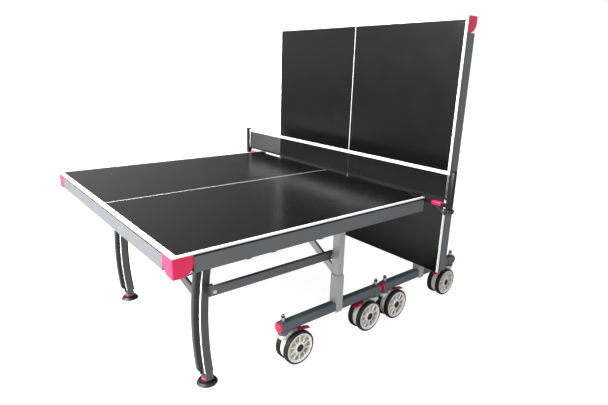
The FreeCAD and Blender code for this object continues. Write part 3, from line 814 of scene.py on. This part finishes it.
# ------------------------------------------------------------------ trolley
@dataclass
class Trolley:
    """Beams, posts, braces and the fasteners on them.

    Attributes:
        half: The half that it belongs to.
        post_y: Limits of a post across the table.
        post_x: Width of a post.
        plug_gap: Bare rim of a post round its plug.
        plug_rings: Height above the post and inset of each ring of a plug.
    """

    half: HalfPlace
    post_y: tuple[float, float] = (578.0, 625.0)
    post_x: float = 36.0
    plug_gap: float = 0.5
    plug_rings: Profile = ((-6.0, 2.4), (0.0, 2.4), (0.05, 0.0), (1.6, 0.0), (2.4, 1.2))

    def build(self) -> None:
        """Dresses the steelwork and adds the post plugs."""
        name, frame = self.half.name, self.half.frame
        frame.dress(f"{name}_trolley_beams", Finishes.slate, 0.5)
        frame.dress(f"{name}_beam_caps", Finishes.pink, 0.5)
        frame.dress(f"{name}_trolley_frame", Finishes.silver, 0.9, 3)
        frame.dress(f"{name}_trolley_pins", Finishes.zinc, 0.8)
        self.post_plugs()

    def post_plugs(self) -> None:
        """Plastic plugs in the posts' open tops."""
        top = self.half.frame.span(f"{self.half.name}_trolley_frame")[1].z
        shape = Shape()
        centre_y = sum(self.post_y) / 2
        for side in (-1, 1):
            half_x = self.post_x / 2 - self.plug_gap
            half_y = (self.post_y[1] - self.post_y[0]) / 2 - self.plug_gap
            rings = [[Vector((u, side * centre_y + v, top + z))
                      for u, v in rounded_section(half_x - shrink, half_y - shrink, 3.0)]
                     for z, shrink in self.plug_rings]
            shape.loft(rings)
        name = self.half.name
        shape.piece(f"{name}_post_plugs", Finishes.knob, f"{name}_trolley", self.half.trolley())


# ------------------------------------------------------------------ castors
@dataclass
class Castor:
    """One twin-wheel castor.

    Attributes:
        frame: The frame.
        name: Its name, such as "play_left_outer_castor".
        wheel_radius: Radius of the tyre's tread.
        wheel_width: Width of one wheel.
        outer_face: A wheel's outer face from the castor's middle.
        rim_radius: Radius of the rim.
        window: Inner and outer radius of the windows.
        spokes: Number of spokes.
        spoke: Width of a spoke.
        beam_top: Height of the beam's top.
    """

    frame: Frame
    name: str
    wheel_radius: float = 86.0
    wheel_width: float = 28.0
    outer_face: float = 44.0
    rim_radius: float = 75.0
    window: tuple[float, float] = (29.0, 63.0)
    spokes: int = 10
    spoke: float = 5.4
    beam_top: float = 237.0

    def build(self) -> None:
        """Builds tyres, rims, hub caps, the stem's sleeve and its collar."""
        hub, stem = self.frame.pivot(f"{self.name}_spin"), self.frame.pivot(f"{self.name}_swivel")
        tyres, rims, caps = Shape(), Shape(), Shape()
        for face in (-1, 1):
            self.tyre(tyres, hub, face)
            self.rim(rims, hub, face)
            self.hub_cap(caps, hub, face)
        body = f"{self.name}_wheels"
        tyres.piece(f"{self.name}_tyres", Finishes.tyre, body, replaces=[body])
        rims.piece(f"{self.name}_rims", Finishes.nylon, body, sharp_deg=30)
        caps.piece(f"{self.name}_hub_caps", Finishes.knob, body)
        self.frame.dress(f"{self.name}_frame", Finishes.nylon, 2.0, 3)
        self.frame.dress(f"{self.name}_pedal", Finishes.pink, 1.4, 3)
        self.stem_fittings(stem)

    def across(self, face: int, depth: float) -> float:
        """y from the castor's middle, at a depth in from a wheel's outer face."""
        return face * (self.outer_face - depth)

    def tyre(self, shape: Shape, hub: Vector, face: int) -> None:
        """Tyre with round shoulders and two tread grooves.

        Args:
            shape: The shape that takes it.
            hub: The wheels' centre.
            face: 1 for the wheel on +y and -1 for the other.
        """
        tread, seat, width = self.wheel_radius, self.rim_radius - 1, self.wheel_width
        shoulder, groove = 5.5, tread - 1.3
        outline = [(seat, 1.2), (seat + 3, 0.4), (tread - shoulder, 0.4)]
        outline += [(tread - shoulder + shoulder * math.sin(math.radians(a)),
                     0.4 + shoulder - shoulder * math.cos(math.radians(a))) for a in (20, 40, 60, 80, 90)]
        outline += [(tread, 9.0), (groove, 9.4), (groove, 10.6), (tread, 11.0), (tread, width / 2)]
        mirror = [(r, width - h) for r, h in reversed(outline[:-1])]
        profile = [(r, self.across(face, h)) for r, h in outline + mirror]
        shape.turned(Axis.Y, hub, profile, 96)

    def rim(self, shape: Shape, hub: Vector, face: int) -> None:
        """Rim channel, spoked web with windows, and boss.

        Args:
            shape: The shape that takes it.
            hub: The wheels' centre.
            face: 1 for the wheel on +y and -1 for the other.
        """
        lip = self.rim_radius
        wall = self.window[1]
        outline = [(lip, 0.6), (lip, self.wheel_width - 0.6), (lip - 2.5, self.wheel_width - 0.2),
                   (lip - 4.5, self.wheel_width - 2), (lip - 5, 12.0), (wall + 1.0, 9.0), (wall + 1.0, 4.5),
                   (lip - 7.0, 3.4), (lip - 4.5, 0.4), (lip - 2.0, -0.2)]
        shape.turned(Axis.Y, hub, [(r, self.across(face, h)) for r, h in outline], 96)
        boss = rounded_turn((6.2, 1.0), (self.window[0] - 1.0, self.wheel_width - 1.0), 1.5, 3)
        shape.turned(Axis.Y, hub, [(r, self.across(face, h)) for r, h in boss], 48)
        self.spoke_web(shape, hub, face)

    def spoke_web(self, shape: Shape, hub: Vector, face: int) -> None:
        """Tapered spokes with a raised spine, windows between them.

        Args:
            shape: The shape that takes it.
            hub: The wheels' centre.
            face: 1 for the wheel on +y and -1 for the other.
        """
        inner, outer = self.window[0] - 3, self.window[1] + 2.5
        for number in range(self.spokes):
            middle = 2 * math.pi * (number + 0.5) / self.spokes
            along = Vector((math.cos(middle), 0, math.sin(middle)))
            side = Vector((-along.z, 0, along.x))
            rings = []
            for radius, width, crown in ((inner, 1.1, 2.2), (36.0, 0.9, 2.6), (50.0, 0.9, 3.0),
                                         (outer, 1.4, 3.4)):
                half = self.spoke * width / 2
                section = [(-half, 11.0), (-half, crown + 2.2), (-half * 0.55, crown), (half * 0.55, crown),
                           (half, crown + 2.2), (half, 11.0)]
                rings.append([hub + along * radius + side * u + Vector((0, self.across(face, v), 0))
                              for u, v in section])
            shape.loft(rings)

    def hub_cap(self, shape: Shape, hub: Vector, face: int) -> None:
        """Domed cap with a shallow dish in its middle.

        Args:
            shape: The shape that takes it.
            hub: The wheels' centre.
            face: 1 for the wheel on +y and -1 for the other.
        """
        outline = [(0, 0.4), (8, 0.2), (12.5, -0.6), (17.5, -0.6), (19.8, 0.9), (20.2, 3.0), (20.2, 6.0),
                   (0, 6.0)]
        shape.turned(Axis.Y, hub, [(r, self.across(face, h)) for r, h in outline], 48, closed=False)

    def stem_fittings(self, stem: Vector) -> None:
        """Plated sleeve and black cap over the stem's end, and the swivel collar under the beam.

        Args:
            stem: The swivel's place, under the beam.
        """
        base = (stem.x, stem.y, self.beam_top)
        frame_body = f"{self.name}_frame"
        sleeve, cap, collar = Shape(), Shape(), Shape()
        sleeve.turned(Axis.Z, base, rounded_turn((7.9, 4.0), (10.2, 22.0), 0.8, 3), 40)
        sleeve.piece(f"{self.name}_stem_sleeve", Finishes.zinc, frame_body)
        dome = [(0, 35.6), (4.5, 35.4), (7.5, 34.0), (9.2, 31.0), (9.6, 27.0), (9.6, 21.5), (0, 21.5)]
        cap.turned(Axis.Z, base, dome, 40, closed=False)
        cap.piece(f"{self.name}_stem_cap", Finishes.knob, frame_body)
        collar.turned(Axis.Z, base, rounded_turn((7.9, 0.3), (15.5, 4.6), 1.2, 3), 40)
        swivel = (stem.x, stem.y, stem.z)
        collar.turned(Axis.Z, swivel, rounded_turn((8.0, -15.0), (25.5, -0.6), 2.5, 3), 56)
        collar.piece(f"{self.name}_collar", Finishes.slate, frame_body)


# ---------------------------------------------------------------------- net
@dataclass
class Net:
    """Knotted net, its tapes, posts, knobs and levers.

    Attributes:
        frame: The frame.
        pitch: Distance from knot to knot, coarser than the real 4 mm so that it shows.
        cord: Width and thickness of a cord.
        tape_thickness: Thickness of the tape's cloth.
        pucker: How far a tape's hem waves, and how long a radian of the wave is.
        stitch: Length of a stitch and distance from one to the next.
        foot_depth: Height of the foot tape.
        band_half: Half the thickness of the foot tape and of the end bands.
        lever_depth: Height of a lever's grip.
        lever_length: Its length along the arm.
    """

    frame: Frame
    pitch: float = 5.6
    cord: tuple[float, float] = (3.0, 0.9)
    tape_thickness: float = 0.6
    pucker: tuple[float, float] = (0.25, 9.0)
    stitch: tuple[float, float] = (3.4, 5.0)
    foot_depth: float = 10.0
    band_half: float = 1.3
    lever_depth: float = 18.0
    lever_length: float = 52.0

    def build(self) -> None:
        """Builds the cloth, grips and knobs, and dresses the metalwork."""
        posts = self.frame.loaded["nodes"]["net_posts"]
        self.mesh(posts)
        self.top_tape()
        self.foot_tape()
        self.frame.dress("net_posts", Finishes.black, 0.9, 3)
        self.levers()
        for side in ("left", "right"):
            self.height_knob(f"net_{side}_knob")

    def mesh(self, posts: bpy.types.Object) -> None:
        """Cords crossing at knots, pulled flat between the posts.

        Args:
            posts: The net's metalwork, which holds it; not used.
        """
        low, high = self.frame.span("net_mesh")
        cord, thickness = self.cord
        columns = round((high.y - low.y) / self.pitch)
        rows = round((high.z - low.z) / self.pitch)
        step_y, step_z = (high.y - low.y - cord) / columns, (high.z - low.z - cord) / rows
        ys = [low.y + step_y * i + edge for i in range(columns + 1) for edge in (0, cord)]
        zs = [low.z + step_z * j + edge for j in range(rows + 1) for edge in (0, cord)]
        x = (low.x + high.x) / 2 - thickness / 2
        faces = []
        for i in range(len(ys) - 1):
            for j in range(len(zs) - 1):
                if i % 2 and j % 2:
                    continue
                faces.append([Vector((x, ys[i], zs[j])), Vector((x, ys[i + 1], zs[j])),
                              Vector((x, ys[i + 1], zs[j + 1])), Vector((x, ys[i], zs[j + 1]))])
        shape = Shape()
        shape.flat_solid(faces, Vector((thickness, 0, 0)))
        cloth = shape.piece("net_cords", Finishes.cord, "play_top", replaces=["net_mesh"])

    def folded_band(self, shape: Shape, x: float, y: tuple[float, float], z: tuple[float, float],
                    half: float, opens_up: bool) -> float:
        """Tape folded over the net's edge, with a stitched, slightly wavy hem.

        Args:
            shape: The shape that takes it.
            x: The net's plane.
            y: The tape's ends.
            z: Its lower and upper edge.
            half: Half its outside thickness.
            opens_up: The fold is at the bottom.

        Returns:
            The width of the cloth before it was folded.
        """
        cloth = self.tape_thickness
        depth = z[1] - z[0]
        bend = [(math.cos(math.radians(a)), math.sin(math.radians(a))) for a in range(0, 181, 30)]
        outer = [(half, 0.0)] + [(half * c, depth - half + half * s) for c, s in bend] + [(-half, 0.0)]
        core = half - cloth
        inner = [(-core, 0.0)] + [(-core * c, depth - half + core * s) for c, s in bend] + [(core, 0.0)]
        rings = []
        steps = 150
        sway, length = self.pucker
        for step in range(steps + 1):
            at = y[0] + (y[1] - y[0]) * step / steps
            wave = sway * math.sin(at / length)
            ring = []
            for u, v in outer + inner:
                height = z[0] + depth - v if opens_up else z[0] + v
                ring.append(Vector((x + u + wave * (1 - v / depth) * 0.6, at, height)))
            rings.append(ring)
        shape.loft(rings)
        return 2 * (depth - half) + math.pi * half

    def top_tape(self) -> None:
        """White tape over the net's top cord."""
        low, high = self.frame.span("net_tape")
        shape = Shape()
        x, y = (low.x + high.x) / 2, (low.y, high.y)
        width = self.folded_band(shape, x, y, (low.z, high.z), (high.x - low.x) / 2, False)
        tape = shape.piece("net_top_tape", Finishes.tape, "play_top", replaces=["net_tape"], sharp_deg=60)
        stitches = Shape()
        length, pitch = self.stitch
        end_gap, row = 4, (low.z + 2.6, low.z + 3.4)
        for face in (-1, 1):
            at = y[0] + end_gap
            while at < y[1] - end_gap:
                spot = x + face * ((high.x - low.x) / 2 + 0.05)
                stitches.slab((spot - 0.25, spot + 0.25), (at, at + length), row, 0.2, 1)
                at += pitch
        stitches.piece("net_tape_stitches", Finishes.tape, "play_top")

    def foot_tape(self) -> None:
        """Dark tape along the net's foot and the bands down its two ends."""
        low, high = self.frame.span("net_mesh")
        x, y = (low.x + high.x) / 2, (low.y, high.y)
        foot, ends = Shape(), Shape()
        half = self.band_half
        width = self.folded_band(foot, x, y, (low.z, low.z + self.foot_depth), half, True)
        tape = foot.piece("net_foot_tape", Finishes.dark_tape, "play_top", sharp_deg=60)
        for side in (-1, 1):
            limits = sorted((side * (high.y - 1), side * (high.y - 5)))
            ends.slab((x - half, x + half), (limits[0], limits[1]), (low.z + 1, high.z - 0.5), 0.6, 2)
        ends.piece("net_end_bands", Finishes.tape, "play_top")

    def levers(self) -> None:
        """Slim moulded grips that wrap the posts' arms."""
        low, high = self.frame.span("net_levers")
        grip = self.lever_depth / 2
        middle = (low.z + high.z) / 2
        shape = Shape()
        for side in (-1, 1):
            y = sorted((side * high.y, side * (high.y - self.lever_length)))
            shape.slab((low.x, high.x), (y[0], y[1]), (middle - grip, middle + grip), 4.0, 4)
        shape.piece("net_lever_grips", Finishes.pink, "play_top", replaces=["net_levers"])

    def height_knob(self, node: str) -> None:
        """Fluted height knob under a net post.

        Args:
            node: The frame's knob that it replaces, which is also its body's name.
        """
        low, high = self.frame.span(node)
        axis = self.frame.pivot(f"{node}_turn")
        shape = Shape()
        base = (axis.x, axis.y, low.z)
        grip = [(0, 0.3), (15, 0.0), (21, 0.6), (24.4, 3.0), (25, 6.0), (25, 15.0), (24, 18.6), (20, 20.6),
                (9, 21.0), (0, 21.0)]
        shape.turned(Axis.Z, base, grip, 96, 12, 0.10, closed=False)
        tall = high.z - low.z
        shape.turned(Axis.Z, base, [(0, 20.5), (4, 20.5), (4, tall), (0, tall)], 32, closed=False)
        shape.piece(f"{node}_grip", Finishes.knob, node, replaces=[node])


# -------------------------------------------------------------------- stage
@dataclass(frozen=True)
class Softbox:
    """Rectangular light that looks at a point.

    Attributes:
        name: Its name.
        place: Where it stands, in metres.
        target: What it looks at, in metres.
        size: Its two sides, in metres.
        power: Its power in watts.
    """

    name: str
    place: tuple[float, float, float]
    target: tuple[float, float, float]
    size: tuple[float, float]
    power: float

    def build(self) -> None:
        """Makes the light."""
        light = bpy.data.lights.new(self.name, "AREA")
        light.shape = "RECTANGLE"
        light.size, light.size_y = self.size
        light.energy = self.power
        made = bpy.data.objects.new(self.name, light)
        made.location = self.place
        made.rotation_mode = "QUATERNION"
        made.rotation_quaternion = (Vector(self.target) - Vector(self.place)).to_track_quat("-Z", "Y")
        bpy.context.scene.collection.objects.link(made)


@dataclass
class Studio:
    """Pale floor, soft light and the camera.

    Attributes:
        eye: The camera's place, in millimetres.
        azimuth: Its direction from +X towards +Y, in radians.
        elevation: Its direction above the horizon, in radians.
        roll: Its turn about its own line of sight, in radians.
        lens: Focal length on a 36 mm wide sensor, in millimetres.
        floor_radius: Radius of the floor, in metres.
        floor_lift: Light that the bare floor adds where it is looked at.
        wall_light: Brightness of the dim wall and of the bright ones.
        lights: The key light beyond the level half's end, and a weak one overhead.
    """

    eye: tuple[float, float, float] = (-1555.6, -2107.3, 1375.0)
    azimuth: float = 0.8727
    elevation: float = -0.28477
    roll: float = 0.03191
    lens: float = 27.151
    floor_radius: float = 60.0
    floor_lift: float = 0.88
    wall_light: tuple[float, float] = (0.14, 0.8)
    lights: tuple[Softbox, ...] = (
        Softbox("key_light", (-5.0, 0.4, 4.2), (-0.6, 0.0, 0.6), (5.0, 2.6), 1500.0),
        Softbox("top_light", (-0.4, 0.2, 5.5), (0.0, 0.0, 0.0), (4.0, 4.0), 30.0))

    def build(self) -> None:
        """Makes floor, lights, world and camera."""
        self.floor()
        self.world()
        for light in self.lights:
            light.build()
        self.camera()

    def floor(self) -> None:
        """Round pale floor that runs to the horizon."""
        mesh = bmesh.new()
        bmesh.ops.create_circle(mesh, cap_ends=True, radius=self.floor_radius, segments=64)
        data = bpy.data.meshes.new("floor")
        mesh.to_mesh(data)
        mesh.free()
        paint = Finish("matt_floor_paint", "white_band", "a8a8a8", "a4a4a4", 0.9, 0.02, Grain.ERODED,
                       grain_mm=3.0, relief_mm=0.01)
        data.materials.append(paint.material())
        self.lift_floor(paint.material().node_tree)
        made = bpy.data.objects.new("floor", data)
        bpy.context.scene.collection.objects.link(made)

    def lift_floor(self, tree: bpy.types.NodeTree) -> None:
        """Makes the bare floor read as white paper without lighting the table from below.

        Args:
            tree: The floor material's node tree.
        """
        surface = next(node for node in tree.nodes if node.type == "BSDF_PRINCIPLED")
        seen = add_node(tree, "ShaderNodeLightPath").outputs["Is Camera Ray"]
        lift = add_node(tree, "ShaderNodeMath", {"operation": "MULTIPLY", 1: self.floor_lift},
                        {0: seen}).outputs[0]
        surface.inputs["Emission Color"].default_value = (1, 1, 1, 1)
        tree.links.new(lift, surface.inputs["Emission Strength"])

    def world(self) -> None:
        """White backdrop, with a dim wall beyond the table's far right and bright ones elsewhere."""
        world = bpy.data.worlds.new("studio")
        world.use_nodes = True
        tree = world.node_tree
        tree.nodes.clear()
        ray = add_node(tree, "ShaderNodeTexCoord").outputs["Generated"]
        way = add_node(tree, "ShaderNodeSeparateXYZ", links={0: ray}).outputs
        left, far, near = (
            add_node(tree, "ShaderNodeMapRange", {"From Min": none, "From Max": full},
                     {"Value": way[axis]}).outputs[0]
            for axis, none, full in (("X", 0.6, -0.2), ("Y", -0.1, 0.4), ("Y", 0.1, -0.3)))
        share = add_node(tree, "ShaderNodeMath", {"operation": "MULTIPLY"}, {0: left, 1: far}).outputs[0]
        share = add_node(tree, "ShaderNodeMath", {"operation": "MAXIMUM"}, {0: share, 1: near}).outputs[0]
        dim, bright = self.wall_light
        walls = add_node(tree, "ShaderNodeMapRange", {"To Min": dim, "To Max": bright},
                         {"Value": share}).outputs[0]
        seen = add_node(tree, "ShaderNodeLightPath").outputs["Is Camera Ray"]
        strength = add_node(tree, "ShaderNodeMath", {"operation": "MAXIMUM"}, {0: walls, 1: seen}).outputs[0]
        light = add_node(tree, "ShaderNodeBackground", {"Color": (1, 1, 1, 1)}, {"Strength": strength})
        add_node(tree, "ShaderNodeOutputWorld", links={"Surface": light.outputs[0]})
        bpy.context.scene.world = world
        bpy.context.scene.view_settings.view_transform = "Standard"

    def camera(self) -> None:
        """Camera at standing eye height, off the table's near corner."""
        ahead = Vector((math.cos(self.elevation) * math.cos(self.azimuth),
                        math.cos(self.elevation) * math.sin(self.azimuth), math.sin(self.elevation)))
        level_right = ahead.cross(Vector((0, 0, 1))).normalized()
        level_up = level_right.cross(ahead)
        right = math.cos(self.roll) * level_right + math.sin(self.roll) * level_up
        up = math.cos(self.roll) * level_up - math.sin(self.roll) * level_right
        lens = bpy.data.cameras.new("camera")
        lens.lens, lens.sensor_width = self.lens, 36.0
        lens.clip_end = 200.0
        made = bpy.data.objects.new("camera", lens)
        turn = Matrix((right, up, -ahead)).transposed().to_4x4()
        made.matrix_world = Matrix.Translation(Vector(self.eye) * MM) @ turn
        bpy.context.scene.collection.objects.link(made)
        bpy.context.scene.camera = made


def castor_names() -> list[str]:
    """Names of the eight castors."""
    return [f"{half}_{side}_{end}_castor" for half in ("play", "wall") for side in ("left", "right")
            for end in ("outer", "inner")]


def main() -> None:
    """Loads the frame and builds every sub-assembly round it."""
    logging.basicConfig(level=logging.INFO, format="%(name)s: %(message)s")
    frame = Frame(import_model())
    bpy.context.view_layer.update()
    parts: list[Studio | TableTop | LegPair | Trolley | Castor | Net] = [Studio()]
    for name in ("play", "wall"):
        half = HalfPlace(frame, name)
        parts += [TableTop(half), LegPair(half), Trolley(half)]
    parts += [Castor(frame, name) for name in castor_names()]
    parts.append(Net(frame))
    for number, part in enumerate(parts, 1):
        LOG.info("building %s, %d of %d", type(part).__name__, number, len(parts))
        part.build()


if __name__ == "__main__":
    main()
